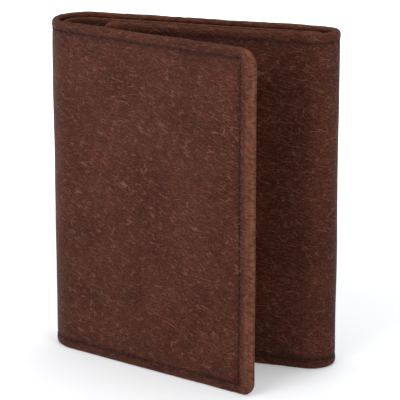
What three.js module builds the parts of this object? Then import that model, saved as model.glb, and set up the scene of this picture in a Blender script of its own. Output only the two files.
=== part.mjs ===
// A trifold wallet in turned-edge leather, standing on its lower edges with the front flap ajar.
// Millimetres, +Z up, +X along the back panel, the front flap towards -Y.
// The origin is under the middle of the wallet, on the surface that it stands on.
import * as THREE from 'three';

// Overall sizes
const height = 102;
const width = 88.2;

// Folds: radius of the outer surface, and how far each flap stands off the back panel
const frontFoldRadius = 11;
const innerFoldRadius = 7.3;
const frontFlapTilt = 18.6;
const innerFlapTilt = 1.2;
const frontFlapLength = 70.5;
const innerFlapLength = 64.2;

// Depths below the outer surface of each layer, near side then far side
const coverDepth = [0, 1.1];
const liningDepth = [1.2, 1.45];
const flapPanelDepth = [1.55, 2.25];
const billPanelDepth = [7.2, 7.9];
const panelThickness = flapPanelDepth[1] - flapPanelDepth[0];
const pocketThickness = 0.45;
const pocketPitch = 0.55;
const layerGap = 0.1;

// Gaps between neighbouring stretches of the same leather at a crease
const creaseGap = 0.3;
const rootGap = 0.5;
const panelRootStart = 2.2;
const panelFoldTrim = 6;
const loopShift = 0.2;

// Heights of the layers
const coverSpan = [0, height];
const panelSpan = [0.4, height - 0.6];
const flapLiningSpan = [2, height - 2];

// Bill compartment lining: a fabric bag, open at the top
const bagThickness = 0.3;
const bagDepth = [1.25, 7.1];
const bagSpan = [1.4, height - 2.5];
const bagMargin = 1.5;

// Card pockets: a stack of three, each lower than the one behind it
const pocketNames = ['top', 'middle', 'bottom'];
const pocketBottom = 3;
const pocketTop = 89;
const pocketStep = 13;
const pocketCorner = 2.5;
const centrePocketWidth = 66;
const innerPocketWidth = 57;
const pocketTipMargin = 3.2;

// Identity window on the inside of the front flap
const windowFrameSize = [58, 84];
const windowOpening = [46, 66];
const windowTipMargin = 4;
const windowBottom = 9;
const windowCorner = 4;
const windowFrameCorner = 2.5;
const filmOverlap = 3;
const filmThickness = 0.25;
const frameThickness = 0.5;

// How finely curves are cut: largest turn between two points of a fold, and steps in a rounded corner
const arcStep = 7;
const cornerSteps = 6;

const radians = THREE.MathUtils.degToRad;
const frontTurn = 180 - frontFlapTilt;
const innerTurn = 180 - innerFlapTilt;
const depthOverall = frontFoldRadius * (1 + Math.cos(radians(frontFlapTilt)))
  + frontFlapLength * Math.sin(radians(frontFlapTilt));

// Plan view: px runs from the front fold to the inner fold, pv from the back face to the front.
function toPart(px, pv) {
  return new THREE.Vector2(px - width / 2, depthOverall / 2 - pv);
}

// A fold is an arc on the plan. side is -1 at the front fold and +1 at the inner fold.
function makeFold(side, radius, turn, panelBack) {
  const centreX = side < 0 ? radius : width - radius;
  const tilt = radians(180 - turn);
  const loopInset = side < 0 ? loopShift : 0;
  const loopRadius = (radius - flapPanelDepth[0] + Math.cos(tilt) * (radius - panelBack)
    + loopInset * Math.sin(tilt)) / (1 + Math.cos(tilt));
  const loopX = centreX - side * loopInset;
  const loopV = panelBack + loopRadius;
  const onArc = (cx, cv, r, angle) => toPart(
    cx + side * r * Math.sin(radians(angle)),
    cv - r * Math.cos(radians(angle)),
  );
  const heading = new THREE.Vector2(-side * Math.cos(tilt), -Math.sin(tilt));
  const inward = new THREE.Vector2(-side * Math.sin(tilt), Math.cos(tilt));
  return {
    radius,
    heading,
    inward,
    cover: (angle, depth) => onArc(centreX, radius, radius - depth, angle),
    panel: (angle, depth) => onArc(loopX, loopV, loopRadius - depth, angle),
    root: onArc(centreX, radius, radius, turn),
  };
}

const frontFold = makeFold(-1, frontFoldRadius, frontTurn, billPanelDepth[0]);
const innerFold = makeFold(1, innerFoldRadius, innerTurn, billPanelDepth[0]);

// A flat face: along runs away from the fold, depth runs into the wallet.
function makeFace(root, heading, inward) {
  return {
    heading,
    inward,
    at: (along, depth) => root.clone().addScaledVector(heading, along).addScaledVector(inward, depth),
  };
}

const frontFace = makeFace(frontFold.root, frontFold.heading, frontFold.inward);
const innerFace = makeFace(innerFold.root, innerFold.heading, innerFold.inward);
const backFace = makeFace(toPart(0, 0), new THREE.Vector2(1, 0), new THREE.Vector2(0, -1));

// Stations along a wall: each is a function that gives the plan point at a depth.
function arcStations(curve, from, to) {
  const steps = Math.max(2, Math.ceil(Math.abs(to - from) / arcStep));
  return Array.from({ length: steps + 1 }, (_, i) => {
    const angle = from + ((to - from) * i) / steps;
    return (depth) => curve(angle, depth);
  });
}

function flatStations(face, from, to) {
  return [from, to].map((along) => (depth) => face.at(along, depth));
}

// An upright wall between two depths along its stations.
function wall(stations, depths, span) {
  const near = stations.map((station) => station(depths[0]));
  const far = stations.map((station) => station(depths[1])).reverse();
  const outline = [...near, ...far];
  if (THREE.ShapeUtils.area(outline) < 0) {
    outline.reverse();
  }
  const geometry = new THREE.ExtrudeGeometry(new THREE.Shape(outline), {
    depth: span[1] - span[0],
    bevelEnabled: false,
  });
  geometry.translate(0, 0, span[0]);
  return geometry;
}

// A flat plate drawn on a face: its outline is in (along, height), its thickness goes inwards.
function plate(shape, face, depth, thickness) {
  const geometry = new THREE.ExtrudeGeometry(shape, {
    depth: thickness,
    bevelEnabled: false,
    curveSegments: cornerSteps,
  });
  const along = new THREE.Vector3(face.heading.x, face.heading.y, 0);
  const up = new THREE.Vector3(0, 0, 1);
  const normal = along.clone().cross(up);
  const goesInwards = normal.x * face.inward.x + normal.y * face.inward.y > 0;
  const start = face.at(0, goesInwards ? depth : depth + thickness);
  const placing = new THREE.Matrix4().makeBasis(along, up, normal);
  placing.setPosition(start.x, start.y, 0);
  geometry.applyMatrix4(placing);
  return geometry;
}

function roundedRectangle(low, high, corner) {
  const shape = new THREE.Shape();
  shape.moveTo(low[0] + corner, low[1]);
  shape.lineTo(high[0] - corner, low[1]);
  shape.absarc(high[0] - corner, low[1] + corner, corner, -Math.PI / 2, 0, false);
  shape.lineTo(high[0], high[1] - corner);
  shape.absarc(high[0] - corner, high[1] - corner, corner, 0, Math.PI / 2, false);
  shape.lineTo(low[0] + corner, high[1]);
  shape.absarc(low[0] + corner, high[1] - corner, corner, Math.PI / 2, Math.PI, false);
  shape.lineTo(low[0], low[1] + corner);
  shape.absarc(low[0] + corner, low[1] + corner, corner, Math.PI, Math.PI * 1.5, false);
  return shape;
}

const finishes = {
  cover: new THREE.MeshStandardMaterial({ color: 0x5a3126, roughness: 0.55, metalness: 0 }),
  inside: new THREE.MeshStandardMaterial({ color: 0x54302a, roughness: 0.6, metalness: 0 }),
  fabric: new THREE.MeshStandardMaterial({ color: 0x2c211d, roughness: 0.9, metalness: 0 }),
  film: new THREE.MeshStandardMaterial({ color: 0xdfe6e8, roughness: 0.15, metalness: 0 }),
};

const wallet = new THREE.Group();

function add(name, geometry, finish) {
  const mesh = new THREE.Mesh(geometry, finish);
  mesh.name = name;
  wallet.add(mesh);
}

// Creases. The front fold has three that share the turn, and one more at the flap's root.
const frontCreases = [1, 3, 5].map((sixth) => (frontTurn * sixth) / 6);
const innerCreases = [1, 3].map((quarter) => (innerTurn * quarter) / 4);
const halfGapOf = (fold) => THREE.MathUtils.radToDeg(creaseGap / 2 / fold.radius);
const frontTrim = halfGapOf(frontFold);
const innerTrim = halfGapOf(innerFold);

// Back panel: cover, bill compartment and its front wall
function acrossTheBack(curveName) {
  return [
    ...arcStations(frontFold[curveName], frontCreases[0] - frontTrim, 0),
    ...arcStations(innerFold[curveName], 0, innerCreases[0] - innerTrim),
  ];
}

add('back_cover', wall(acrossTheBack('cover'), coverDepth, coverSpan), finishes.cover);
add('bill_panel', wall(acrossTheBack('panel'), [0, panelThickness], panelSpan), finishes.inside);

function billBag() {
  const [near, far] = bagDepth;
  const [low, high] = bagSpan;
  const outline = [
    [near, high], [near, low], [far, low], [far, high],
    [far - bagThickness, high], [far - bagThickness, low + bagThickness],
    [near + bagThickness, low + bagThickness], [near + bagThickness, high],
  ];
  const section = new THREE.Shape(outline.map(([depth, z]) => new THREE.Vector2(depth, z)));
  const from = frontFoldRadius + bagMargin;
  const to = width - innerFoldRadius - bagMargin;
  const geometry = new THREE.ExtrudeGeometry(section, { depth: to - from, bevelEnabled: false });
  const placing = new THREE.Matrix4().makeBasis(
    new THREE.Vector3(0, -1, 0),
    new THREE.Vector3(0, 0, 1),
    new THREE.Vector3(-1, 0, 0),
  );
  const end = toPart(to, 0);
  placing.setPosition(end.x, end.y, 0);
  geometry.applyMatrix4(placing);
  return geometry;
}

add('bill_lining', billBag(), finishes.fabric);

// A stack of card pockets on a face, the tallest next to the panel
function addPockets(prefix, face, start, pocketWidth, firstDepth) {
  pocketNames.forEach((step, i) => {
    const top = pocketTop - i * pocketStep;
    const shape = roundedRectangle([start, pocketBottom], [start + pocketWidth, top], pocketCorner);
    const depth = firstDepth + i * pocketPitch;
    add(`${prefix}_pocket_${step}`, plate(shape, face, depth, pocketThickness), finishes.inside);
  });
}

const flatBack = [frontFoldRadius, width - innerFoldRadius];
const centrePocketStart = (flatBack[0] + flatBack[1] - centrePocketWidth) / 2;
addPockets('centre', backFace, centrePocketStart, centrePocketWidth, billPanelDepth[1] + layerGap);

// Front fold: three stretches of cover with the matching stretches of panel inside
const frontStops = [...frontCreases, frontTurn];
frontCreases.forEach((crease, i) => {
  const last = i === frontCreases.length - 1;
  const end = frontStops[i + 1];
  const endTrim = last ? THREE.MathUtils.radToDeg(rootGap / 2 / frontFoldRadius) : frontTrim;
  const coverRun = arcStations(frontFold.cover, crease + frontTrim, end - endTrim);
  const panelRun = arcStations(frontFold.panel, crease + frontTrim, end - (last ? panelFoldTrim : frontTrim));
  add(`front_fold_cover_${i + 1}`, wall(coverRun, coverDepth, coverSpan), finishes.cover);
  add(`front_fold_panel_${i + 1}`, wall(panelRun, [0, panelThickness], panelSpan), finishes.inside);
});

// Front flap
const frontCoverRun = flatStations(frontFace, rootGap / 2, frontFlapLength);
const frontPanelRun = flatStations(frontFace, panelRootStart, frontFlapLength - layerGap);
add('front_flap_cover', wall(frontCoverRun, coverDepth, coverSpan), finishes.cover);
add('front_flap_lining', wall(frontPanelRun, liningDepth, flapLiningSpan), finishes.fabric);
add('front_flap_panel', wall(frontPanelRun, flapPanelDepth, panelSpan), finishes.inside);

const frameStart = frontFlapLength - windowTipMargin - windowFrameSize[0];
const frameEnd = frameStart + windowFrameSize[0];
const openingStart = frameStart + (windowFrameSize[0] - windowOpening[0]) / 2;
const openingEnd = openingStart + windowOpening[0];
const openingBottom = windowBottom + (windowFrameSize[1] - windowOpening[1]) / 2;
const openingTop = openingBottom + windowOpening[1];
const filmDepth = flapPanelDepth[1] + layerGap;
const filmShape = roundedRectangle(
  [openingStart - filmOverlap, openingBottom - filmOverlap],
  [openingEnd + filmOverlap, openingTop + filmOverlap],
  windowCorner,
);
const frameShape = roundedRectangle(
  [frameStart, windowBottom],
  [frameEnd, windowBottom + windowFrameSize[1]],
  windowFrameCorner,
);
const opening = roundedRectangle([openingStart, openingBottom], [openingEnd, openingTop], windowCorner);
frameShape.holes.push(opening);
add('window_film', plate(filmShape, frontFace, filmDepth, filmThickness), finishes.film);
add(
  'window_frame',
  plate(frameShape, frontFace, filmDepth + filmThickness + layerGap, frameThickness),
  finishes.inside,
);

// Inner fold: one stretch of cover and panel between its two creases
const innerSpan = [innerCreases[0] + innerTrim, innerCreases[1] - innerTrim];
const innerCoverRun = arcStations(innerFold.cover, ...innerSpan);
const innerPanelRun = arcStations(innerFold.panel, ...innerSpan);
add('inner_fold_cover', wall(innerCoverRun, coverDepth, coverSpan), finishes.cover);
add('inner_fold_panel', wall(innerPanelRun, [0, panelThickness], panelSpan), finishes.inside);

// Inner flap
const innerCoverFlap = [
  ...arcStations(innerFold.cover, innerCreases[1] + innerTrim, innerTurn),
  (depth) => innerFace.at(innerFlapLength, depth),
];
const innerPanelFlap = [
  ...arcStations(innerFold.panel, innerCreases[1] + innerTrim, innerTurn),
  (depth) => innerFace.at(innerFlapLength - layerGap, flapPanelDepth[0] + depth),
];
const innerLiningRun = flatStations(innerFace, panelRootStart, innerFlapLength - layerGap);
add('inner_flap_cover', wall(innerCoverFlap, coverDepth, coverSpan), finishes.cover);
add('inner_flap_lining', wall(innerLiningRun, liningDepth, flapLiningSpan), finishes.fabric);
add('inner_flap_panel', wall(innerPanelFlap, [0, panelThickness], panelSpan), finishes.inside);
const innerPocketStart = innerFlapLength - pocketTipMargin - innerPocketWidth;
addPockets('inner', innerFace, innerPocketStart, innerPocketWidth, flapPanelDepth[1] + layerGap);

export default wallet;
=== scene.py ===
import math
import random

import bmesh
import bpy
from mathutils import Matrix, Vector, noise
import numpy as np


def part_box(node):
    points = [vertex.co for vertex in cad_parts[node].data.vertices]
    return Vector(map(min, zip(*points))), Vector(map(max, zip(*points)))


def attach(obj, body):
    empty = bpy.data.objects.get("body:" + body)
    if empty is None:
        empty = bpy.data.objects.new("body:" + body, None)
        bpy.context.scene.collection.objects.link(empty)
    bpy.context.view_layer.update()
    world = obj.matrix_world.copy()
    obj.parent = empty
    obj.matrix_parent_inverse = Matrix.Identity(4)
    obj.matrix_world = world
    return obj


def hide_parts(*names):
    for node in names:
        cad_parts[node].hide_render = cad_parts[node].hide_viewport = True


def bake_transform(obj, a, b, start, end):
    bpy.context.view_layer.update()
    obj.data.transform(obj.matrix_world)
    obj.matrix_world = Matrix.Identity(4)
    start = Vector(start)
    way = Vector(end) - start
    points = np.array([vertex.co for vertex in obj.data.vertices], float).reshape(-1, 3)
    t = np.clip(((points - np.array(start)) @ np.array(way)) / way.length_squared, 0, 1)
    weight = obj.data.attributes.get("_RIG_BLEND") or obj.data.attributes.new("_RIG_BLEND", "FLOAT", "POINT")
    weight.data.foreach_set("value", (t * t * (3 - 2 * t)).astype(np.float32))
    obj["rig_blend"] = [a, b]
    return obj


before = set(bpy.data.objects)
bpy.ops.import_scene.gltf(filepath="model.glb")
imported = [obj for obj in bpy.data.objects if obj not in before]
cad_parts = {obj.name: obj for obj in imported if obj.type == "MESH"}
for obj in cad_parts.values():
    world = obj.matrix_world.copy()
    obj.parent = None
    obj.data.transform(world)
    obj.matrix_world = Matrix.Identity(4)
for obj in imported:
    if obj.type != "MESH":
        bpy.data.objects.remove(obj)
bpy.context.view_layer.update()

mm = 0.001

# the plan of the wallet, as it is cut and folded
wallet = {
    "height": 102 * mm,
    "width": 88.2 * mm,
    "frontRadius": 11 * mm,
    "innerRadius": 7.3 * mm,
    "frontTurn": math.radians(161.4),
    "innerTurn": math.radians(178.8),
    "frontFlap": 70.5 * mm,
    "innerFlap": 64.2 * mm,
    "panelDepth": 1.55 * mm,       # cover face to inside panel, in the flaps
    "billDepth": 7.2 * mm,         # back face to inside panel, behind the pockets
    "frontLoopShift": 0.2 * mm,
    "unevenness": 0.16 * mm,       # how far soft leather strays from flat
    "unevenSize": 24 * mm,
    "rippleDepth": 0.05 * mm,
    "rippleSize": 7 * mm,
    "mapSize": 300 * mm,           # one unit of the leather's UV map
}
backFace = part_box("back_cover")[1].y
leftEdge = -wallet["width"] / 2


def makePath(frontCentre, frontRadius, innerCentre, innerRadius, frontFlap, innerFlap):
    # a strip's way round the plan: flap, fold, back, fold, flap, with the length at which each ends
    stops = [frontFlap]
    stops.append(stops[-1] + frontRadius * wallet["frontTurn"])
    stops.append(stops[-1] + innerCentre[0] - frontCentre[0])
    stops.append(stops[-1] + innerRadius * wallet["innerTurn"])
    stops.append(stops[-1] + innerFlap)
    return {
        "folds": ((-1, frontCentre, frontRadius, wallet["frontTurn"]),
                  (1, innerCentre, innerRadius, wallet["innerTurn"])),
        "stops": stops,
    }


def foldPoint(fold, angle, ahead, depth):
    side, centre, radius, turn = fold
    across = centre[0] + side * ((radius - depth) * math.sin(angle) + ahead * math.cos(angle))
    deep = centre[1] - (radius - depth) * math.cos(angle) + ahead * math.sin(angle)
    return across, deep


def planPoint(path, along, depth):
    front, inner = path["folds"]
    flapEnd, backStart, backEnd, innerEnd = path["stops"][:4]
    if along < flapEnd:
        across, deep = foldPoint(front, front[3], flapEnd - along, depth)
    elif along < backStart:
        across, deep = foldPoint(front, (backStart - along) / front[2], 0, depth)
    elif along < backEnd:
        across, deep = front[1][0] + along - backStart, front[1][1] - front[2] + depth
    elif along < innerEnd:
        across, deep = foldPoint(inner, (along - backEnd) / inner[2], 0, depth)
    else:
        across, deep = foldPoint(inner, inner[3], along - innerEnd, depth)
    return leftEdge + across, backFace - deep


def strays(x, y, z):
    # soft leather is never quite flat: the layers of one wall stray together
    big, small = wallet["unevenSize"], wallet["rippleSize"]
    return (wallet["unevenness"] * noise.noise(Vector((x, y, z)) / big)
            + wallet["rippleDepth"] * noise.noise(Vector((x, y, z)) / small))


def place(path, along, up, depth):
    x, y = planPoint(path, along, depth)
    x, y = planPoint(path, along, depth + strays(x, y, up))
    return Vector((x, y, up))


def axesAt(path, along, up, depth):
    # the way along the strip, up, and out of its face
    step = 0.2 * mm
    ahead = place(path, along + step, up, depth) - place(path, along - step, up, depth)
    ahead.normalize()
    upward = Vector((0, 0, 1))
    return ahead, upward, ahead.cross(upward)


def loopRadius(radius, turn, inset):
    tilt = math.pi - turn
    room = radius - wallet["panelDepth"] + math.cos(tilt) * (radius - wallet["billDepth"])
    return (room + inset * math.sin(tilt)) / (1 + math.cos(tilt))


frontCentre = (wallet["frontRadius"], wallet["frontRadius"])
innerCentre = (wallet["width"] - wallet["innerRadius"], wallet["innerRadius"])
coverPath = makePath(frontCentre, wallet["frontRadius"], innerCentre, wallet["innerRadius"],
                     wallet["frontFlap"], wallet["innerFlap"])

panelInset = {"freeEdge": 2.0 * mm, "bottom": 0.5 * mm, "top": 0.6 * mm}
frontLoop = loopRadius(wallet["frontRadius"], wallet["frontTurn"], wallet["frontLoopShift"])
innerLoop = loopRadius(wallet["innerRadius"], wallet["innerTurn"], 0)
frontLoopCentre = (frontCentre[0] + wallet["frontLoopShift"], wallet["billDepth"] + frontLoop)
innerLoopCentre = (innerCentre[0], wallet["billDepth"] + innerLoop)


def flapStart(side, centre, loopCentre, turn):
    # how far up the flap from its root the panel leaves its loop
    return (side * math.cos(turn) * (loopCentre[0] - centre[0])
            + math.sin(turn) * (loopCentre[1] - centre[1]))


frontPanelStart = flapStart(-1, frontCentre, frontLoopCentre, wallet["frontTurn"])
innerPanelStart = flapStart(1, innerCentre, innerLoopCentre, wallet["innerTurn"])
panelPath = makePath(frontLoopCentre, frontLoop, innerLoopCentre, innerLoop,
                     wallet["frontFlap"] - frontPanelStart - panelInset["freeEdge"],
                     wallet["innerFlap"] - innerPanelStart - panelInset["freeEdge"])


# sheets of leather

sheetMesh = {
    "turnSteps": 4,        # mesh steps round each half of a turned edge
    "slack": 1e-6,
    "weld": 0.002 * mm,
}


def spread(low, high, step):
    count = max(1, math.ceil((high - low) / step - sheetMesh["slack"]))
    return [low + (high - low) * i / count for i in range(count)]


def stations(length, radius, fine, coarse, band, stops=()):
    # places of the mesh lines across a sheet: round the two turned edges, then close together in the bands
    steps, slack = sheetMesh["turnSteps"], sheetMesh["slack"]
    turned = [radius * (1 - math.cos(math.radians(90 * k / steps))) for k in range(steps)]
    marks = sorted([radius, band, *stops, length - band, length - radius])
    lines = list(turned)
    for low, high in zip(marks, marks[1:]):
        near = high <= band + slack or low >= length - band - slack
        lines += spread(low, high, fine if near else coarse)
    return lines + [length - radius] + [length - t for t in reversed(turned)]


def roundOff(x, y, length, height, corners):
    # pulls a square corner onto its round outline, and says how far in from the outline a place is
    right, top = x > length / 2, y > height / 2
    radius = corners[right][top]
    inX = length - x if right else x
    inY = height - y if top else y
    inside = min(inX, inY)
    if inX < radius and inY < radius:
        a, b = 1 - inX / radius, 1 - inY / radius
        a, b = a * math.sqrt(1 - b * b / 2), b * math.sqrt(1 - a * a / 2)
        inX, inY = radius * (1 - a), radius * (1 - b)
        inside = radius * (1 - math.hypot(a, b))
    return (length - inX if right else inX), (height - inY if top else inY), inside


def unrolled(inside, radius):
    # length of leather round a turned edge
    if inside < radius:
        return radius * math.acos(1 - inside / radius)
    return inside + radius * (math.pi / 2 - 1)


def edgeDrop(inside, radius):
    if inside >= radius:
        return 0
    return radius - math.sqrt(max(0, radius ** 2 - (radius - inside) ** 2))


def soften(value, low, high):
    # 0 at low, 1 at high, eased at both ends
    t = min(1, max(0, (value - low) / (high - low)))
    return t * t * (3 - 2 * t)


def bell(value, middle, width):
    return math.exp(-((value - middle) / width) ** 2)


def textureRun(at, length, radius):
    if at < length / 2:
        return unrolled(at, radius)
    return length + radius * (math.pi - 2) - unrolled(length - at, radius)


def buildSheet(size, columns, rows, radius, corners, surface, put):
    # a closed sheet with rounded edges: an outer and an inner face, welded along the outline
    length, height = size
    bm = bmesh.new()
    layers = {key: bm.verts.layers.float.new(key) for key in ("along", "u", "v", "wearAndHighlight", "seam")}
    for outer in (True, False):
        made = bmesh.ops.create_grid(bm, x_segments=len(columns) - 1, y_segments=len(rows) - 1, size=0.5)
        for v in made["verts"]:
            x = columns[round((v.co.x + 0.5) * (len(columns) - 1))]
            y = rows[round((v.co.y + 0.5) * (len(rows) - 1))]
            v[layers["along"]] = x
            v[layers["u"]] = textureRun(x, length, radius) / wallet["mapSize"]
            v[layers["v"]] = textureRun(y, height, radius) / wallet["mapSize"]
            x, y, inside = roundOff(x, y, length, height, corners)
            depth, wearAndHighlight, seam = surface(x, y, inside, outer)
            v[layers["wearAndHighlight"]] = wearAndHighlight
            v[layers["seam"]] = seam
            v.co = put(x, y, depth)
    bmesh.ops.remove_doubles(bm, verts=bm.verts, dist=sheetMesh["weld"])
    bmesh.ops.recalc_face_normals(bm, faces=bm.faces)
    bm.normal_update()
    return bm


def toPiece(bm, name, material, smooth=True):
    mesh = bpy.data.meshes.new(name)
    for face in bm.faces:
        face.smooth = smooth
    bm.to_mesh(mesh)
    bm.free()
    mesh.materials.append(material)
    piece = bpy.data.objects.new(name, mesh)
    bpy.context.scene.collection.objects.link(piece)
    return piece


def addMap(bm):
    uv = bm.loops.layers.uv.new("leather")
    u, v = bm.verts.layers.float["u"], bm.verts.layers.float["v"]
    for face in bm.faces:
        for loop in face.loops:
            loop[uv].uv = (loop.vert[u], loop.vert[v])


def cutPiece(bm, name, low, high, material):
    # one stretch of a long strip, closed where it meets the next, shaded as part of the whole
    part = bm.copy()
    along = part.verts.layers.float["along"]
    whole = part.verts.layers.float_vector.new("whole")
    for v in part.verts:
        v[whole] = v.normal
    outside = [f for f in part.faces
               if not low < sum(v[along] for v in f.verts) / len(f.verts) < high]
    bmesh.ops.delete(part, geom=outside, context="FACES")
    bmesh.ops.holes_fill(part, edges=[e for e in part.edges if e.is_boundary])
    addMap(part)
    normals = [v[whole].copy() for v in part.verts]
    piece = toPiece(part, name, material)
    piece.data.normals_split_custom_set_from_vertices(normals)
    return piece


# materials


def addNode(tree, kind, inputs=None, **settings):
    made = tree.nodes.new(kind)
    for key, value in settings.items():
        setattr(made, key, value)
    for key, value in (inputs or {}).items():
        if isinstance(value, bpy.types.NodeSocket):
            tree.links.new(value, made.inputs[key])
        else:
            made.inputs[key].default_value = value
    return made


def mathNode(tree, operation, first, second=0.0, third=0.0):
    values = {0: first, 1: second, 2: third}
    return addNode(tree, "ShaderNodeMath", values, operation=operation).outputs[0]


def rangeNode(tree, value, low, high, toLow, toHigh):
    limits = {"Value": value, "From Min": low, "From Max": high, "To Min": toLow, "To Max": toHigh}
    return addNode(tree, "ShaderNodeMapRange", limits, interpolation_type="SMOOTHSTEP").outputs[0]


def mixColour(tree, factor, first, second):
    return addNode(tree, "ShaderNodeMix", {0: factor, 6: first, 7: second}, data_type="RGBA").outputs[2]


def noiseNode(tree, at, scale, detail):
    return addNode(tree, "ShaderNodeTexNoise", {"Vector": at, "Scale": scale, "Detail": detail})


def bumpNode(tree, height, strength, distance):
    values = {"Height": height, "Strength": strength, "Distance": distance}
    return addNode(tree, "ShaderNodeBump", values).outputs[0]


def startMaterial(name):
    material = bpy.data.materials.new(name)
    material.use_nodes = True
    tree = material.node_tree
    tree.nodes.clear()
    out = tree.nodes.new("ShaderNodeOutputMaterial")
    shader = tree.nodes.new("ShaderNodeBsdfPrincipled")
    tree.links.new(shader.outputs[0], out.inputs[0])
    return material, tree, shader


def perMap(size):
    # texture scale for features of a size on the leather's UV map
    return wallet["mapSize"] / size


coverLook = {
    "dark": (0.043, 0.0088, 0.0038, 1),
    "light": (0.066, 0.0160, 0.0080, 1),
    "cool": (0.046, 0.0150, 0.0080, 1),
    # valley: painted shade for the grain's valleys and low grain; crease: painted highlight for the crease
    # lines and high grain
    "valley": (0.016, 0.0038, 0.0020, 1),
    "crease": (0.165, 0.070, 0.046, 1),
    "wornAndHighlight": (0.150, 0.056, 0.031, 1),
    "seamShade": (0.010, 0.0035, 0.0025, 1),
    "bend": (24 * mm, 10 * mm),                # size and reach of the bends that the grain follows
    "creaseBend": (3 * mm, 0.7 * mm),
    "grainBend": (1.2 * mm, 0.4 * mm),
    "pebbles": (8, 1.35, 0.85 * mm, 0.22),     # turn in degrees, stretch, size and width of the lines
    "creases": (18, 2.4, 2.7 * mm, 0.062),
    "net": (6, 1.7, 1.4 * mm, 0.085),
    "grain": (8, 2.2, 0.40 * mm, 2.0),         # turn in degrees, stretch, size and detail
    "rubbed": (4, 3.0, 0.8 * mm, 2.0),
    "creaseMask": (2.6 * mm, 2.0, 0.42, 0.6),  # size, detail and the range that is used
    "netMask": (2.4 * mm, 2.0, 0.42, 0.64, 0.0, 0.5),
    "patches": (16 * mm, 5.0, 0.33, 0.67),
    "coolPatches": (5 * mm, 3.0, 0.5, 0.7, 0.0, 0.6),
    "lowGrainShade": (0.5, 0.3, 0.0, 0.6),
    "highGrainHighlight": (0.5, 0.74, 0.0, 0.28),
    "rubbedGrain": (0.34, 0.64, 0.2, 1.0),
    "shares": (0.45, 0.55, 0.75),              # how strongly the painted shade in the valleys, the painted highlight on the lines and the painted shade at the seams colour the leather
    "heights": (-0.6, 0.4, 0.9),               # how high valleys, lines and grain stand
    "relief": 0.13 * mm,
    "valleyRough": 0.35,
    "roughRange": (0.3, 0.9),
    "roughness": (0.46, 0.64),
    "specular": 0.075,
}


def turnedMap(tree, at, turn, scale):
    values = {"Vector": at, "Rotation": (0, 0, math.radians(turn)), "Scale": scale}
    return addNode(tree, "ShaderNodeMapping", values, vector_type="TEXTURE").outputs[0]


def cellLines(tree, at, turn, stretch, size, width):
    # a net of thin lines between stretched cells
    placed = turnedMap(tree, at, turn, (stretch, 1 / stretch, 1))
    cells = addNode(tree, "ShaderNodeTexVoronoi", {"Vector": placed, "Scale": perMap(size)},
                    feature="DISTANCE_TO_EDGE").outputs["Distance"]
    return rangeNode(tree, cells, 0.0, width, 1.0, 0.0)


def drawnOut(tree, at, turn, stretch, size, detail):
    # noise drawn out along one way
    placed = turnedMap(tree, at, turn, (stretch, 1, 1))
    return noiseNode(tree, placed, perMap(size), detail).outputs[0]


def blotches(tree, at, size, detail, low, high, toLow=0.0, toHigh=1.0):
    return rangeNode(tree, noiseNode(tree, at, perMap(size), detail).outputs[0], low, high, toLow, toHigh)


def warped(tree, at, size, reach):
    made = noiseNode(tree, at, perMap(size), 2.0)
    centred = addNode(tree, "ShaderNodeVectorMath", {0: made.outputs["Color"], 1: (0.5, 0.5, 0.5)},
                      operation="SUBTRACT").outputs[0]
    moved = addNode(tree, "ShaderNodeVectorMath", {0: centred, "Scale": reach / wallet["mapSize"]},
                    operation="SCALE").outputs[0]
    return addNode(tree, "ShaderNodeVectorMath", {0: at, 1: moved}, operation="ADD").outputs[0]


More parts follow.
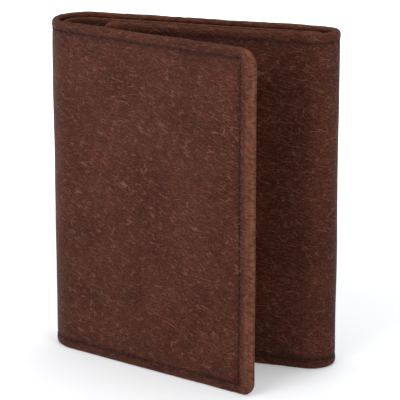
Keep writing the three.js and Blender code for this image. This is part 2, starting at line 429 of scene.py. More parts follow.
def makeLeather(name, look):
    material, tree, shader = startMaterial(name)
    uv = addNode(tree, "ShaderNodeUVMap", uv_map="leather").outputs[0]
    bentAt = warped(tree, uv, *look["bend"])
    creaseAt = warped(tree, bentAt, *look["creaseBend"])
    grainAt = warped(tree, bentAt, *look["grainBend"])
    valley = cellLines(tree, grainAt, *look["pebbles"])
    grain = drawnOut(tree, bentAt, *look["grain"])
    crease = cellLines(tree, creaseAt, *look["creases"])
    crease = mathNode(tree, "MULTIPLY", crease, blotches(tree, uv, *look["creaseMask"]))
    net = cellLines(tree, grainAt, *look["net"])
    net = mathNode(tree, "MULTIPLY", net, blotches(tree, bentAt, *look["netMask"]))
    lines = mathNode(tree, "MAXIMUM", net, crease)
    # colour: patches, painted shade on low grain and painted highlight on high grain, painted shade in the
    # valleys, painted highlight on the creases, wear and painted highlight on the edges, painted shade at
    # the seams
    valleyShadeShare, lineHighlightShare, seamShadeShare = look["shares"]
    colour = mixColour(tree, blotches(tree, uv, *look["patches"]), look["dark"], look["light"])
    colour = mixColour(tree, blotches(tree, uv, *look["coolPatches"]), colour, look["cool"])
    # painted shade on the low grain
    colour = mixColour(tree, rangeNode(tree, grain, *look["lowGrainShade"]), colour, look["valley"])
    # painted highlight on the high grain
    colour = mixColour(tree, rangeNode(tree, grain, *look["highGrainHighlight"]), colour, look["crease"])
    # painted shade in the valleys
    colour = mixColour(tree, mathNode(tree, "MULTIPLY", valley, valleyShadeShare), colour, look["valley"])
    # painted highlight on the crease lines
    colour = mixColour(tree, mathNode(tree, "MULTIPLY", lines, lineHighlightShare), colour, look["crease"])
    # wear on the edges, with painted highlight on the pleat crests and the puffed band
    wearAndHighlight = addNode(tree, "ShaderNodeAttribute", attribute_name="wearAndHighlight").outputs["Fac"]
    rubbedAt = rangeNode(tree, drawnOut(tree, creaseAt, *look["rubbed"]), *look["rubbedGrain"])
    colour = mixColour(tree, mathNode(tree, "MULTIPLY", wearAndHighlight, rubbedAt), colour, look["wornAndHighlight"])
    # painted shade along the seams, darker in their grooves and stitch holes
    seam = addNode(tree, "ShaderNodeAttribute", attribute_name="seam").outputs["Fac"]
    colour = mixColour(tree, mathNode(tree, "MULTIPLY", seam, seamShadeShare), colour, look["seamShade"])
    tree.links.new(colour, shader.inputs["Base Color"])
    # surface: pebbles with valleys between them, creases standing a little proud
    valleyHeight, lineHeight, grainHeight = look["heights"]
    height = mathNode(tree, "MULTIPLY", grain, grainHeight)
    height = mathNode(tree, "MULTIPLY_ADD", valley, valleyHeight, height)
    height = mathNode(tree, "MULTIPLY_ADD", lines, lineHeight, height)
    tree.links.new(bumpNode(tree, height, 1.0, look["relief"]), shader.inputs["Normal"])
    rough = mathNode(tree, "MULTIPLY_ADD", valley, look["valleyRough"], grain)
    rough = rangeNode(tree, rough, *look["roughRange"], *look["roughness"])
    tree.links.new(rough, shader.inputs["Roughness"])
    shader.inputs["Specular IOR Level"].default_value = look["specular"]
    return material


coverLeather = makeLeather("cover_leather", coverLook)
insideLook = dict(coverLook, pebbles=(8, 1.35, 0.7 * mm, 0.22), relief=0.08 * mm,
                  dark=(0.040, 0.0095, 0.0048, 1), light=(0.068, 0.0175, 0.0090, 1))
insideLeather = makeLeather("inside_leather", insideLook)


threadLook = {
    "twist": 1600.0,
    "distortion": 1.5,
    "dark": (0.012, 0.005, 0.0035, 1),
    "light": (0.036, 0.014, 0.009, 1),
    "bump": (0.6, 0.05 * mm),
    "roughness": 0.62,
    "specular": 0.1,
}

fabricLook = {
    "twill": 900.0,
    "cross": 700.0,
    "distortion": 0.6,
    "dark": (0.012, 0.008, 0.007, 1),
    "light": (0.045, 0.030, 0.025, 1),
    "bump": (0.5, 0.06 * mm),
    "roughness": 0.85,
    "sheen": 0.25,
}


def waveNode(tree, at, scale, distortion, direction):
    values = {"Vector": at, "Scale": scale, "Distortion": distortion}
    return addNode(tree, "ShaderNodeTexWave", values, bands_direction=direction).outputs["Fac"]


def clothe(tree, shader, pattern, look):
    # what thread and fabric have in common: the pattern in colour and in relief
    colour = mixColour(tree, pattern, look["dark"], look["light"])
    tree.links.new(colour, shader.inputs["Base Color"])
    tree.links.new(bumpNode(tree, pattern, *look["bump"]), shader.inputs["Normal"])
    shader.inputs["Roughness"].default_value = look["roughness"]


def makeThread(name, look):
    material, tree, shader = startMaterial(name)
    at = addNode(tree, "ShaderNodeTexCoord").outputs["Object"]
    clothe(tree, shader, waveNode(tree, at, look["twist"], look["distortion"], "DIAGONAL"), look)
    shader.inputs["Specular IOR Level"].default_value = look["specular"]
    return material


def makeFabric(name, look):
    material, tree, shader = startMaterial(name)
    at = addNode(tree, "ShaderNodeTexCoord").outputs["Object"]
    twill = waveNode(tree, at, look["twill"], look["distortion"], "DIAGONAL")
    cross = waveNode(tree, at, look["cross"], look["distortion"], "Z")
    clothe(tree, shader, mathNode(tree, "MULTIPLY", twill, cross), look)
    shader.inputs["Sheen Weight"].default_value = look["sheen"]
    return material


threadMaterial = makeThread("waxed_thread", threadLook)
liningFabric = makeFabric("lining_fabric", fabricLook)
print("materials ready")

# seams run round the whole strip, a little way in from its edges

sewing = {
    "pitch": 2.3 * mm,
    "stitch": 1.5 * mm,
    "thread": 0.19 * mm,
    "sunk": 0.13 * mm,
    "slant": math.radians(9),
    "slantVary": 0.04,
    "stitchVary": (0.94, 1.04),
    "groove": 0.13 * mm,
    "grooveWidth": 0.45 * mm,
    "hole": 0.2 * mm,
    "dimple": 0.06 * mm,
    "dimpleWidth": 1.6 * mm,
    "fadeOut": 1.2 * mm,
    "seamShade": 0.5,
    "sideShade": 0.3,               # share of the painted shade that the seams up the sides have
    "shadeWidth": 1.3 * mm,
    "shadePatch": 1.3 * mm,
    "shadeVary": 1.8,
    "grooveShade": 0.08,
    "reach": 3 * mm,
    "band": 8 * mm,                # the seams are found within this of the edges
    "heights": (2.9 * mm, wallet["height"] - 3.0 * mm),
    "frontEdge": 5.0 * mm,
    "innerEdge": 3.8 * mm,
}


def alongOf(path, region, at):
    inset = 0 if path is coverPath else panelInset["freeEdge"]
    if region == "front_flap":
        return at - inset
    if region == "inner_flap":
        return path["stops"][4] - (at - inset)
    return path["stops"][1] + at - path["folds"][0][1][0]


def seamLines(path):
    # bottom, top, front flap's free edge and inner flap's free edge, as (along, up) ends
    inset = 0 if path is coverPath else panelInset["freeEdge"]
    first, last = sewing["frontEdge"] - inset, path["stops"][4] - sewing["innerEdge"] + inset
    low, high = sewing["heights"]
    return [((first, low), (last, low)), ((first, high), (last, high)),
            ((first, low), (first, high)), ((last, low), (last, high))]


coverSeams, panelSeams = seamLines(coverPath), seamLines(panelPath)


def seamRelief(lines, x, y, reach):
    # how far the leather is pulled in at a seam, and how much shade is painted there: a darker band along
    # it, darker still in its groove and stitch holes
    pulled, paintedShade = 0, 0
    for (x0, y0), (x1, y1) in lines:
        if x < min(x0, x1) - reach or x > max(x0, x1) + reach:
            continue
        if y < min(y0, y1) - reach or y > max(y0, y1) + reach:
            continue
        span = math.hypot(x1 - x0, y1 - y0)
        t = ((x - x0) * (x1 - x0) + (y - y0) * (y1 - y0)) / span
        off = ((x - x0) * (y1 - y0) - (y - y0) * (x1 - x0)) / span
        fade = soften(t, -sewing["fadeOut"], 0) * soften(span - t, -sewing["fadeOut"], 0)
        groove = bell(off, 0, sewing["grooveWidth"])
        hole = 0.5 + 0.5 * math.cos(2 * math.pi * t / sewing["pitch"])
        deep = (sewing["groove"] + sewing["hole"] * hole) * groove
        deep += sewing["dimple"] * bell(off, 0, sewing["dimpleWidth"])
        pulled = max(pulled, deep * fade)
        # painted shade: a darker band along the seam, stronger on the top and bottom seams, darker in the
        # groove at each stitch hole
        seamShade = sewing["seamShade"] * (1 if y0 == y1 else sewing["sideShade"])
        seamShade *= 1 + sewing["shadeVary"] * noise.noise(Vector((x, y, 0)) / sewing["shadePatch"])
        seamShade *= bell(off, 0, sewing["shadeWidth"])
        inGroove = sewing["grooveShade"] + (1 - sewing["grooveShade"]) * hole ** 2
        paintedShade = max(paintedShade, seamShade * fade, groove * fade * inGroove)
    return pulled, paintedShade


def sewSeams(name, path, lines, face, tip, low=-math.inf, high=math.inf):
    # the stitches of one piece: face is the depth of the surface, tip is -1 on the outer side
    rng = random.Random(name)
    bm = bmesh.new()
    for (x0, y0), (x1, y1) in lines:
        span = math.hypot(x1 - x0, y1 - y0)
        for k in range(int(span / sewing["pitch"])):
            t = (k + 0.5) * sewing["pitch"] / span
            x, y = x0 + (x1 - x0) * t, y0 + (y1 - y0) * t
            if not low < x < high:
                continue
            depth = face - tip * sewing["sunk"]
            ahead, upward, out = axesAt(path, x, y, depth)
            run = (ahead * (x1 - x0) + upward * (y1 - y0)).normalized()
            slant = sewing["slant"] + rng.uniform(-sewing["slantVary"], sewing["slantVary"])
            run = Matrix.Rotation(slant, 3, out) @ run
            half = sewing["stitch"] / 2 * rng.uniform(*sewing["stitchVary"])
            thick = sewing["thread"]
            basis = Matrix((run * half, out.cross(run) * thick, out * thick)).transposed().to_4x4()
            basis.translation = place(path, x, y, depth)
            basis @= Matrix.Rotation(math.pi / 2, 4, "Y")
            bmesh.ops.create_uvsphere(bm, u_segments=8, v_segments=6, radius=1, matrix=basis)
    bmesh.ops.recalc_face_normals(bm, faces=bm.faces)
    return toPiece(bm, name, threadMaterial)


# the cover: one strip of leather, turned over at its edges

cover = {
    "edgeRadius": 1.05 * mm,
    "hemThickness": 1.5 * mm,
    "middle": 1.12 * mm,
    "lip": (1.3 * mm, 2.0 * mm),
    "hem": (6.2 * mm, 8 * mm),
    "corners": ((4.0 * mm, 5.2 * mm), (4.5 * mm, 4.5 * mm)),   # front flap bottom and top, inner flap
    "fine": 0.4 * mm,
    "coarse": 0.8 * mm,
    "coarseUp": 1.1 * mm,
    "band": 6 * mm,
    "puff": 0.14 * mm,
    "puffAt": 1.9 * mm,
    "puffWidth": 1.0 * mm,
    "pleats": 9,
    "pleatDepth": 0.16 * mm,
    "pleatHighlight": 0.6,
    "flapBlend": 6 * mm,
    "wander": 0.12 * mm,
    "wanderSizes": (1.9 * mm, 11 * mm),
    "wanderReach": 4 * mm,
    "handled": (6 * mm, 2 * mm),           # the free edges are the ones that fingers rub
    "hemWear": (0.5, 0, 0.8 * mm),         # amount, middle and width
    "edgeWear": (0.2, 0.5, 0.25 * mm, 0.55 * mm),
    "puffWearAndHighlight": (0.03, 0.47, 1.9 * mm, 1.5 * mm),
}
coverSize = (coverPath["stops"][4], wallet["height"])


def cornerPleats(x, y):
    # leather gathered round the front flap's top corner as its edge is turned
    radius = cover["corners"][0][1]
    a, b = radius - x, y - (coverSize[1] - radius)
    if a < 0 or b < 0:
        return 0
    angle = math.atan2(b, a)
    out = math.hypot(a, b) / radius
    fade = soften(out, 0.45, 0.95) * soften(angle, 0.1, 0.4) * soften(math.pi / 2 - angle, 0.1, 0.4)
    uneven = 3 * noise.noise(Vector((a, b, 0)) / (2 * mm))
    return fade * math.cos(angle * 4 * cover["pleats"] / math.pi * 2 + uneven)


def edgeWander(x, y):
    # a turned edge is never quite straight
    edge = min(y, wallet["height"] - y)
    spot = Vector((x, y, 0))
    small, big = cover["wanderSizes"]
    wander = cover["wander"] * (noise.noise(spot / small) + 1.3 * noise.noise(spot / big))
    if y < wallet["height"] / 2:
        wander = abs(wander)
    return wander * (1 - soften(edge, 0, cover["wanderReach"]))


def seamsNear(lines, x, y, inside):
    return seamRelief(lines, x, y, sewing["reach"]) if inside < sewing["band"] else (0, 0)


def coverSurface(x, y, inside, outer):
    radius = cover["edgeRadius"]
    drop = edgeDrop(inside, radius)
    crest = min(1, inside / radius)
    pleat = cornerPleats(x, y)
    if not outer:
        thick = 2 * radius + (cover["hemThickness"] - 2 * radius) * soften(inside, *cover["lip"])
        thick += (cover["middle"] - cover["hemThickness"]) * soften(inside, *cover["hem"])
        amount, middle, width = cover["hemWear"]
        return thick - drop, amount * bell(inside, middle, width), 0
    pulled, paintedShade = seamsNear(coverSeams, x, y, inside)
    puff = cover["puff"] * bell(inside, cover["puffAt"], cover["puffWidth"])
    depth = drop + crest * (pulled - puff - cover["pleatDepth"] * pleat)
    handled = soften(min(x, coverSize[0] - x), *cover["handled"])
    base, rubbed, middle, width = cover["edgeWear"]
    wearAndHighlight = (base + rubbed * handled) * bell(inside, middle, width)
    # the puffed band is paler: rubbed wear on the free edges and painted highlight where the band turns to
    # the light
    base, rubbed, middle, width = cover["puffWearAndHighlight"]
    wearAndHighlight += (base + rubbed * handled) * bell(inside, middle, width) * (1 - paintedShade)
    # painted highlight on the crests of the gathered pleats
    wearAndHighlight += cover["pleatHighlight"] * max(0, pleat)
    return depth, min(1, wearAndHighlight), paintedShade


def arcAlong(path, fold, degrees):
    # place along a strip at an angle of a fold
    if fold == 0:
        return path["stops"][1] - math.radians(degrees) * path["folds"][0][2]
    return path["stops"][2] + math.radians(degrees) * path["folds"][1][2]


frontTurn, innerTurn = math.degrees(wallet["frontTurn"]), math.degrees(wallet["innerTurn"])
frontThird = frontTurn / 3
lastStrip = frontTurn * 11 / 12


def stripSections(path):
    # each stretch turns between two neighbouring bodies: bodies, from, to, where the turning starts and ends
    flapEnd, backStart, backEnd, innerEnd, total = path["stops"]
    root = arcAlong(path, 0, lastStrip)
    second, first = arcAlong(path, 0, 2 * frontThird), arcAlong(path, 0, frontThird)
    middle, inner = (backStart + backEnd) / 2, arcAlong(path, 1, innerTurn / 2)
    return [
        (("front_strip_3", "front_flap"), 0, root, root, flapEnd - cover["flapBlend"]),
        (("front_strip_2", "front_strip_3"), root, second, second, root),
        (("front_strip_1", "front_strip_2"), second, first, first, second),
        (("back_panel", "front_strip_1"), first, middle, backStart, first),
        (("back_panel", "inner_strip"), middle, inner, backEnd, inner),
        (("inner_strip", "inner_flap"), inner, total, inner, innerEnd),
    ]


def blendSection(piece, path, section, depth):
    bodies, low, high, turnStart, turnEnd = section
    start = Vector((*planPoint(path, turnStart, depth), 0))
    end = Vector((*planPoint(path, turnEnd, depth), 0))
    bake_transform(piece, *bodies, start=start, end=end)


def blendStrip(bm, path, stretches, depth, material):
    # cuts a strip into its stretches and bends each across its joint; each stands for the nodes it names
    for (name, nodes), section in zip(stretches.items(), stripSections(path)):
        piece = cutPiece(bm, name, section[1], section[2], material)
        blendSection(piece, path, section, depth)
        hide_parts(*nodes)
    bm.free()


def sewStrip(prefix, path, lines, face, tip, depth):
    # the stitches bend with the leather they are in
    names = ["front_flap", "front_fold_3", "front_fold_2",
             "back_front_side", "back_inner_side", "inner_flap"]
    for name, section in zip(names, stripSections(path)):
        piece = sewSeams(prefix + name, path, lines, face, tip, section[1], section[2])
        blendSection(piece, path, section, depth)


def putCover(x, y, depth):
    return place(coverPath, x, y + edgeWander(x, y), depth)


def makeMeshLines(path, size, settings):
    # columns and rows of a strip's mesh, with a column wherever it is cut or starts to turn
    stops = [section[1] for section in stripSections(path)[1:]] + path["stops"][:4]
    radius, fine, band = settings["edgeRadius"], settings["fine"], settings["band"]
    columns = stations(size[0], radius, fine, settings["coarse"], band, stops)
    return columns, stations(size[1], radius, fine, settings["coarseUp"], band)


coverStretches = {
    "front_flap_leather": ["front_flap_cover"],
    "front_fold_leather_3": ["front_fold_cover_3"],
    "front_fold_leather_2": ["front_fold_cover_2"],
    "back_leather_front_side": ["front_fold_cover_1", "back_cover"],
    "back_leather_inner_side": ["inner_fold_cover"],
    "inner_flap_leather": ["inner_flap_cover"],
}
coverBm = buildSheet(coverSize, *makeMeshLines(coverPath, coverSize, cover), cover["edgeRadius"],
                     cover["corners"], coverSurface, putCover)
blendStrip(coverBm, coverPath, coverStretches, 2 * cover["edgeRadius"], coverLeather)
print("cover made")

# the inside panel: front wall of the bill compartment and inside face of both flaps

panel = {
    "edgeRadius": 0.35 * mm,
    "corners": ((4.2 * mm, 5.8 * mm), (4.6 * mm, 4.6 * mm)),
    "fine": 0.5 * mm,
    "coarse": 1.0 * mm,
    "coarseUp": 1.4 * mm,
    "band": 5 * mm,
    "edgeWear": (0.6, 0.2 * mm, 0.4 * mm),     # amount, middle and width
    "seamShare": 0.8,
}
panelSize = (panelPath["stops"][4], wallet["height"] - panelInset["bottom"] - panelInset["top"])


def panelSurface(x, y, inside, outer):
    radius = panel["edgeRadius"]
    drop = edgeDrop(inside, radius)
    amount, middle, width = panel["edgeWear"]
    wearAndHighlight = amount * bell(inside, middle, width)
    if outer:
        return drop, wearAndHighlight, 0
    # painted shade along the seams on the panel's inner face
    pulled, paintedShade = seamsNear(panelSeams, x, y + panelInset["bottom"], inside)
    hollow = min(1, inside / radius) * panel["seamShare"] * pulled
    return 2 * radius - drop - hollow, wearAndHighlight, paintedShade


def putPanel(x, y, depth):
    return place(panelPath, x, y + panelInset["bottom"], depth)


panelStretches = {
    "front_flap_inside": ["front_flap_panel"],
    "front_fold_inside_3": ["front_fold_panel_3"],
    "front_fold_inside_2": ["front_fold_panel_2"],
    "bill_panel_front_side": ["front_fold_panel_1", "bill_panel"],
    "bill_panel_inner_side": ["inner_fold_panel"],
    "inner_flap_inside": ["inner_flap_panel"],
}
panelBm = buildSheet(panelSize, *makeMeshLines(panelPath, panelSize, panel), panel["edgeRadius"],
                     panel["corners"], panelSurface, putPanel)
blendStrip(panelBm, panelPath, panelStretches, 2 * panel["edgeRadius"], insideLeather)
print("inside panel made")

# linings: thin fabric between cover and panel, inside the hems

lining = {
    "thickness": 0.14 * mm,
    "depth": 1.30 * mm,
    "margin": 8.2 * mm,
    "rootGap": 3 * mm,
    "pucker": 0.03 * mm,
    "puckerSize": 5 * mm,
    "cells": (28, 42),
}


def makeLining(name, body, region, length, node):
    margin, thick = lining["margin"], lining["thickness"]
    width, height = length - margin - lining["rootGap"], wallet["height"] - 2 * margin
    bm = bmesh.new()
    bmesh.ops.create_grid(bm, x_segments=lining["cells"][0], y_segments=lining["cells"][1], size=0.5)
    bmesh.ops.solidify(bm, geom=bm.faces[:], thickness=thick)
    for v in bm.verts:
        along = alongOf(coverPath, region, margin + (v.co.x + 0.5) * width)
        up = margin + (v.co.y + 0.5) * height
        pucker = lining["pucker"] * noise.noise(Vector((along, up, 0)) / lining["puckerSize"])
        v.co = place(coverPath, along, up, lining["depth"] + pucker + v.co.z)
    bmesh.ops.recalc_face_normals(bm, faces=bm.faces)
    piece = toPiece(bm, name, liningFabric)
    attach(piece, body)
    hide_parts(node)


makeLining("front_flap_fabric", "front_flap", "front_flap", wallet["frontFlap"], "front_flap_lining")
makeLining("inner_flap_fabric", "inner_flap", "inner_flap", wallet["innerFlap"], "inner_flap_lining")

billBag = {
    "near": 1.85 * mm,
    "far": 6.9 * mm,
    "from": 12.6 * mm,
    "to": 79.3 * mm,
    "bottom": 2.6 * mm,
    "top": 97.5 * mm,
    "round": 2.2 * mm,
    "wall": 0.22 * mm,
    "wrinkle": 0.35 * mm,
    "cuts": (44, 60),
    "creases": ((1, 9, 26, 0), (0.5, 4, 7, 3)),    # share, size across and up in mm, and start
}


def cutAcross(bm, low, high, axis, cuts):
    # mesh lines at even steps, so that a plain shape can be bent
    for k in range(1, cuts):
        everything = bm.verts[:] + bm.edges[:] + bm.faces[:]
        at = low + (high - low) * k / cuts
        bmesh.ops.bisect_plane(bm, geom=everything, plane_co=at, plane_no=axis, dist=1e-7)


def makeBillBag():
    # the notes' pocket: a fabric bag, open along its top, a little creased
    b = billBag
    low = Vector((leftEdge + b["from"], backFace - b["far"], b["bottom"]))
    high = Vector((leftEdge + b["to"], backFace - b["near"], b["top"]))
    bm = bmesh.new()
    bmesh.ops.create_cube(bm, size=1)
    bmesh.ops.scale(bm, vec=high - low, verts=bm.verts)
    bmesh.ops.translate(bm, vec=(low + high) / 2, verts=bm.verts)
    lid = [f for f in bm.faces if f.normal.z > 0.9]
    bmesh.ops.delete(bm, geom=lid, context="FACES_ONLY")
    folds = [e for e in bm.edges if not e.is_boundary and len(e.link_faces) == 2]
    bmesh.ops.bevel(bm, geom=folds, affect="EDGES", offset=b["round"], segments=5,
                    profile=0.5, material=-1)
    cutAcross(bm, low, high, Vector((1, 0, 0)), b["cuts"][0])
    cutAcross(bm, low, high, Vector((0, 0, 1)), b["cuts"][1])
    middle = (low.y + high.y) / 2
    for v in bm.verts:
        crease = 0
        for share, across, up, start in b["creases"]:
            spot = Vector((v.co.x / across, v.co.z / up, start + v.co.y)) / mm
            crease += share * noise.noise(spot)
        v.co.y -= (1 if v.co.y > middle else -1) * b["wrinkle"] * abs(crease)
    bmesh.ops.recalc_face_normals(bm, faces=bm.faces)
    bmesh.ops.solidify(bm, geom=bm.faces[:], thickness=b["wall"])
    piece = toPiece(bm, "bill_compartment_fabric", liningFabric)
    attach(piece, "back_panel")
    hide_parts("bill_lining")


makeBillBag()
print("linings made")

# card pockets: three to a stack, each shorter than the one behind it

pockets = {
    "names": ("top", "middle", "bottom"),
    "bottom": 3 * mm,
    "tops": (89 * mm, 76 * mm, 63 * mm),
    "edgeRadius": 0.21 * mm,
    "pitch": 0.55 * mm,
    "corners": ((2.5 * mm, 3.0 * mm),) * 2,
    "creaseAt": 2.0 * mm,          # the heated line pressed in under the top edge
    "creaseDepth": 0.09 * mm,
    "creaseWidth": 0.28 * mm,
    "edgeWear": (0.7, 0.1 * mm, 0.3 * mm),     # amount, middle and width
    "seamInset": 2.6 * mm,
    "seamDepth": 0.05 * mm,
    "seamWidth": 0.3 * mm,
    "seamEnd": 1.2 * mm,
    "stitchGaps": (0.4 * mm, 1.2 * mm),        # left free above the next pocket and below the edge
    "seamShade": (0.55, 0.5),                       # painted shade in the pressed line and along the seam
    "fine": (0.45 * mm, 0.4 * mm),
    "step": 1.3 * mm,
    "band": 4 * mm,
    "centreDepth": 8.0 * mm,
    "innerDepth": 2.35 * mm,
    "innerLength": 57 * mm,
    "innerTip": 3.2 * mm,
}


def pocketSurface(size, seamAt):
    length, height = size
    radius = pockets["edgeRadius"]
    amount, middle, width = pockets["edgeWear"]
    lineShade, stitchShade = pockets["seamShade"]

    def surface(x, y, inside, outer):
        drop = edgeDrop(inside, radius)
        wearAndHighlight = amount * bell(inside, middle, width)
        if outer:
            return drop, wearAndHighlight, 0
        line = bell(height - y, pockets["creaseAt"], pockets["creaseWidth"])
        toSeam = min(abs(x - seamAt), abs(length - x - seamAt))
        seam = bell(toSeam, 0, pockets["seamWidth"]) if inside > pockets["seamEnd"] else 0
        pressed = pockets["creaseDepth"] * line + pockets["seamDepth"] * seam
        hollow = min(1, inside / radius) * pressed
        # the pressed line and the seam get painted shade
        return 2 * radius - drop - hollow, wearAndHighlight, max(lineShade * line, stitchShade * seam)
    return surface


def makePocket(name, body, node, start, length, top, depth):
    size = (length, top - pockets["bottom"])
    radius, step, band = pockets["edgeRadius"], pockets["step"], pockets["band"]
    columns = stations(size[0], radius, pockets["fine"][0], step, band)
    rows = stations(size[1], radius, pockets["fine"][1], step, band)
    surface = pocketSurface(size, pockets["seamInset"])

    def put(x, y, deep):
        return place(coverPath, start + x, pockets["bottom"] + y, depth + deep)
    bm = buildSheet(size, columns, rows, radius, pockets["corners"], surface, put)
    addMap(bm)
    piece = toPiece(bm, name, insideLeather)
    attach(piece, body)
    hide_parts(node)


def pocketStack(prefix, body, start, length, firstDepth):
    tops, names = pockets["tops"], pockets["names"]
    inset, (above, below) = pockets["seamInset"], pockets["stitchGaps"]
    left, right = start + inset, start + length - inset
    low = pockets["bottom"] + inset
    for i, step in enumerate(names):
        node = prefix + "_pocket_" + step
        depth = firstDepth + i * pockets["pitch"]
        makePocket(node + "_leather", body, node, start, length, tops[i], depth)
    # the sides and foot of the stack are sewn through the shortest pocket, and the taller ones above it
    for i, step in enumerate(names):
        shortest = i + 1 == len(tops)
        bottom = low if shortest else tops[i + 1]
        lines = [((x, bottom + above), (x, tops[i] - below)) for x in (left, right)]
        if shortest:
            lines.append(((left, low), (right, low)))
        face = firstDepth + i * pockets["pitch"] + 2 * pockets["edgeRadius"]
        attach(sewSeams(prefix + "_pocket_stitches_" + step, coverPath, lines, face, 1), body)


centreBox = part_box("centre_pocket_top")
centreStart = coverPath["stops"][1] + centreBox[0].x - leftEdge - wallet["frontRadius"]
pocketStack("centre", "back_panel", centreStart, centreBox[1].x - centreBox[0].x, pockets["centreDepth"])
innerStart = coverPath["stops"][4] - pockets["innerTip"] - pockets["innerLength"]
pocketStack("inner", "inner_flap", innerStart, pockets["innerLength"], pockets["innerDepth"])
print("pockets made")

# identity window on the inside of the front flap

window = {
    "size": (58 * mm, 84 * mm),
    "margin": (6 * mm, 9 * mm),
    "tipMargin": 4 * mm,
    "bottom": 9 * mm,
    "depth": 2.70 * mm,
    "thickness": 0.5 * mm,
    "outerCorner": 2.5 * mm,
    "innerCorner": 4 * mm,
    "edge": 0.2 * mm,
    "seamInset": 2.4 * mm,
    "cuts": (14, 20),
    "wearAndHighlight": 0.35,
    "flatArea": 3 * mm * mm,       # larger faces are shaded flat
}


def upright(edge):
    return abs(edge.verts[0].co.z - edge.verts[1].co.z) > 0.5 * window["thickness"]


def offCentre(face):
    return face.calc_center_median().length + face.calc_area()


def makeWindowFrame():
    # a plate of leather with its middle cut out, in (along, up, thickness), then set on the flap
    w, h = window["size"]
    bm = bmesh.new()
    bmesh.ops.create_grid(bm, x_segments=1, y_segments=1, size=0.5)
    bmesh.ops.scale(bm, vec=(w, h, 1), verts=bm.verts)
    bmesh.ops.inset_region(bm, faces=bm.faces[:], thickness=window["margin"][0],
                           use_boundary=True, use_even_offset=True)
    middle = min(bm.faces, key=offCentre)
    stretch = (h / 2 - window["margin"][1]) / (h / 2 - window["margin"][0])
    bmesh.ops.scale(bm, vec=(1, stretch, 1), verts=middle.verts)
    bmesh.ops.delete(bm, geom=[middle], context="FACES_ONLY")
    made = bmesh.ops.extrude_face_region(bm, geom=bm.faces[:], use_keep_orig=True)["geom"]
    raised = [g for g in made if isinstance(g, bmesh.types.BMVert)]
    bmesh.ops.translate(bm, vec=(0, 0, window["thickness"]), verts=raised)
    bmesh.ops.recalc_face_normals(bm, faces=bm.faces)
    for corner, inner in ((window["outerCorner"], False), (window["innerCorner"], True)):
        posts = [e for e in bm.edges if upright(e)
                 and (abs(e.verts[0].co.x) < w / 2 - 1 * mm) == inner]
        bmesh.ops.bevel(bm, geom=posts, affect="EDGES", offset=corner, segments=6,
                        profile=0.5, material=-1)
    rims = [e for e in bm.edges
            if len(e.link_faces) == 2 and e.calc_face_angle() > 1.2 and not upright(e)]
    bmesh.ops.bevel(bm, geom=rims, affect="EDGES", offset=window["edge"], segments=3,
                    profile=0.5, material=-1)
    bmesh.ops.triangulate(bm, faces=[f for f in bm.faces if len(f.verts) > 4])
    for length, axis, cuts in zip((w, h), (Vector((1, 0, 0)), Vector((0, 1, 0))), window["cuts"]):
        cutAcross(bm, axis * -length / 2, axis * length / 2, axis, cuts)
    u, v = bm.verts.layers.float.new("u"), bm.verts.layers.float.new("v")
    wearAndHighlight = bm.verts.layers.float.new("wearAndHighlight")
    bm.verts.layers.float.new("seam")
    centre = (window["tipMargin"] + w / 2, window["bottom"] + h / 2)
    for vert in bm.verts:
        x, y, deep = vert.co
        vert[u] = (centre[0] + x + 0.3 * deep) / wallet["mapSize"]
        vert[v] = (centre[1] + y + 0.3 * deep) / wallet["mapSize"]
        vert[wearAndHighlight] = window["wearAndHighlight"] if 0.02 * mm < deep < window["thickness"] - 0.02 * mm else 0.0
        along = alongOf(coverPath, "front_flap", centre[0] + x)
        vert.co = place(coverPath, along, centre[1] + y, window["depth"] + deep)
    bmesh.ops.recalc_face_normals(bm, faces=bm.faces)
    addMap(bm)
    piece = toPiece(bm, "window_frame_leather", insideLeather, smooth=False)
    for polygon in piece.data.polygons:
        polygon.use_smooth = polygon.area < window["flatArea"]
    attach(piece, "front_flap")
    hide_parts("window_frame")
    inset = window["seamInset"]
    left, right = window["tipMargin"] + inset, window["tipMargin"] + w - inset
    low, high = window["bottom"] + inset, window["bottom"] + h - inset
    lines = [((left, low), (right, low)), ((left, low), (left, high)), ((right, low), (right, high))]
    face = window["depth"] + window["thickness"]
    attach(sewSeams("window_stitches", coverPath, lines, face, 1), "front_flap")


makeWindowFrame()

filmLook = {
    "size": (52 * mm, 72 * mm),
    "tipMargin": 7 * mm,
    "bottom": 15 * mm,
    "depth": 2.38 * mm,
    "edgeRadius": 0.1 * mm,
    "corner": 4 * mm,
    "step": 2 * mm,
    "colour": (0.10, 0.105, 0.11, 1),
    "alpha": 0.13,
    "waves": 60.0,
    "bump": (0.15, 0.3 * mm),
    "scuffs": (500.0, 3.0),
    "scuffRange": (0.4, 0.75),
    "roughness": (0.24, 0.34),
    "specular": 0.6,
}


def makeFilmMaterial(name):
    # clear film: mostly seen through, with a soft sheen where it isn't quite flat
    material, tree, shader = startMaterial(name)
    at = addNode(tree, "ShaderNodeTexCoord").outputs["Object"]
    waves = noiseNode(tree, at, filmLook["waves"], 0.0).outputs[0]
    scuffs = noiseNode(tree, at, *filmLook["scuffs"]).outputs[0]
    tree.links.new(bumpNode(tree, waves, *filmLook["bump"]), shader.inputs["Normal"])
    rough = rangeNode(tree, scuffs, *filmLook["scuffRange"], *filmLook["roughness"])
    tree.links.new(rough, shader.inputs["Roughness"])
    shader.inputs["Base Color"].default_value = filmLook["colour"]
    shader.inputs["Alpha"].default_value = filmLook["alpha"]
    shader.inputs["Specular IOR Level"].default_value = filmLook["specular"]
    return material


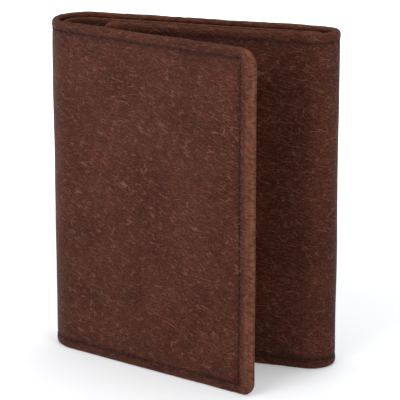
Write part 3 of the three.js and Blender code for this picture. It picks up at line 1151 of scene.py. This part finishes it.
def makeFilm():
    width, height = filmLook["size"]
    radius, step = filmLook["edgeRadius"], filmLook["step"]
    end = alongOf(coverPath, "front_flap", filmLook["tipMargin"])

    def filmSurface(x, y, inside, outer):
        drop = edgeDrop(inside, radius)
        return (drop if outer else 2 * radius - drop), 0, 0

    def put(x, y, deep):
        return place(coverPath, end + x, filmLook["bottom"] + y, filmLook["depth"] + deep)
    columns = stations(width, radius, step, step, 2 * step)
    rows = stations(height, radius, step, step, 2 * step)
    corners = ((filmLook["corner"],) * 2,) * 2
    bm = buildSheet(filmLook["size"], columns, rows, radius, corners, filmSurface, put)
    addMap(bm)
    piece = toPiece(bm, "window_film_sheet", makeFilmMaterial("clear_film"))
    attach(piece, "front_flap")
    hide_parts("window_film")


makeFilm()
print("window made")

sewStrip("stitches_", coverPath, coverSeams, 0, -1, 2 * cover["edgeRadius"])
sewStrip("inside_stitches_", panelPath, panelSeams, 2 * panel["edgeRadius"], 1, 2 * panel["edgeRadius"])
print("seams sewn")

# camera, lights and floor

studio = {
    "azimuth": math.radians(19.91),
    "elevation": math.radians(14.82),
    "distance": 640.9 * mm,
    "lens": 192.3,
    "aim": Vector((-4.1, 6.956, 51)) * mm,
    "aimRight": 7.5 * mm,
    "aimUp": -2.06 * mm,
    "world": 0.5,
}

softBoxes = {                      # azimuth, elevation, distance, size and power
    "soft_box_key": (-20, 22, 1.0, 0.6, 6.2),
    "soft_box_left": (-85, 14, 1.0, 0.6, 2.5),
    "soft_box_right": (50, 25, 1.0, 0.5, 3.6),
    "soft_box_top": (162, 74, 1.0, 0.7, 4.0),
}

floorLook = {
    "size": 6,
    "colour": (0.84, 0.85, 0.87, 1),
    "roughness": 0.9,
    "paintedGlow": (0.06, 0.4, 0.15, 0.72),       # painted light: the floor glows, less near the wallet as painted shade; distances from the wallet and brightness at each
}


def towards(a, e):
    # the way from the wallet at an azimuth and an elevation
    return Vector((math.sin(a) * math.cos(e), -math.cos(a) * math.cos(e), math.sin(e)))


def makeCamera():
    a = studio["azimuth"]
    back = towards(a, studio["elevation"])
    right = Vector((math.cos(a), math.sin(a), 0))
    upward = back.cross(right)
    data = bpy.data.cameras.new("camera")
    data.lens = studio["lens"]
    data.sensor_width = 36
    data.clip_start = 0.01
    camera = bpy.data.objects.new("camera", data)
    eye = studio["aim"] + right * studio["aimRight"] + upward * studio["aimUp"]
    eye += back * studio["distance"]
    camera.matrix_world = Matrix.Translation(eye) @ Matrix((right, upward, back)).transposed().to_4x4()
    bpy.context.scene.collection.objects.link(camera)
    bpy.context.scene.camera = camera


def softBox(name, azimuth, elevation, distance, size, power):
    data = bpy.data.lights.new(name, "AREA")
    data.energy = power
    data.size = size
    lamp = bpy.data.objects.new(name, data)
    back = towards(math.radians(azimuth), math.radians(elevation))
    lamp.location = studio["aim"] + back * distance
    lamp.rotation_euler = back.to_track_quat("Z", "Y").to_euler()
    bpy.context.scene.collection.objects.link(lamp)


def makeFloor():
    bm = bmesh.new()
    bmesh.ops.create_grid(bm, x_segments=1, y_segments=1, size=floorLook["size"])
    material, tree, shader = startMaterial("floor_paper")
    shader.inputs["Base Color"].default_value = floorLook["colour"]
    shader.inputs["Roughness"].default_value = floorLook["roughness"]
    shader.inputs["Emission Color"].default_value = (1, 1, 1, 1)
    # painted light: the floor glows by itself, less near the wallet, which paints shade close to it
    at = addNode(tree, "ShaderNodeTexCoord").outputs["Object"]
    away = addNode(tree, "ShaderNodeVectorMath", {0: at}, operation="LENGTH").outputs["Value"]
    tree.links.new(rangeNode(tree, away, *floorLook["paintedGlow"]), shader.inputs["Emission Strength"])
    toPiece(bm, "floor", material)


makeCamera()
makeFloor()
for name, placing in softBoxes.items():
    softBox(name, *placing)
world = bpy.data.worlds.new("studio")
world.use_nodes = True
background = world.node_tree.nodes["Background"]
background.inputs[0].default_value = (1, 1, 1, 1)
background.inputs[1].default_value = studio["world"]
bpy.context.scene.world = world
bpy.context.scene.view_settings.view_transform = "Standard"
print("studio set")
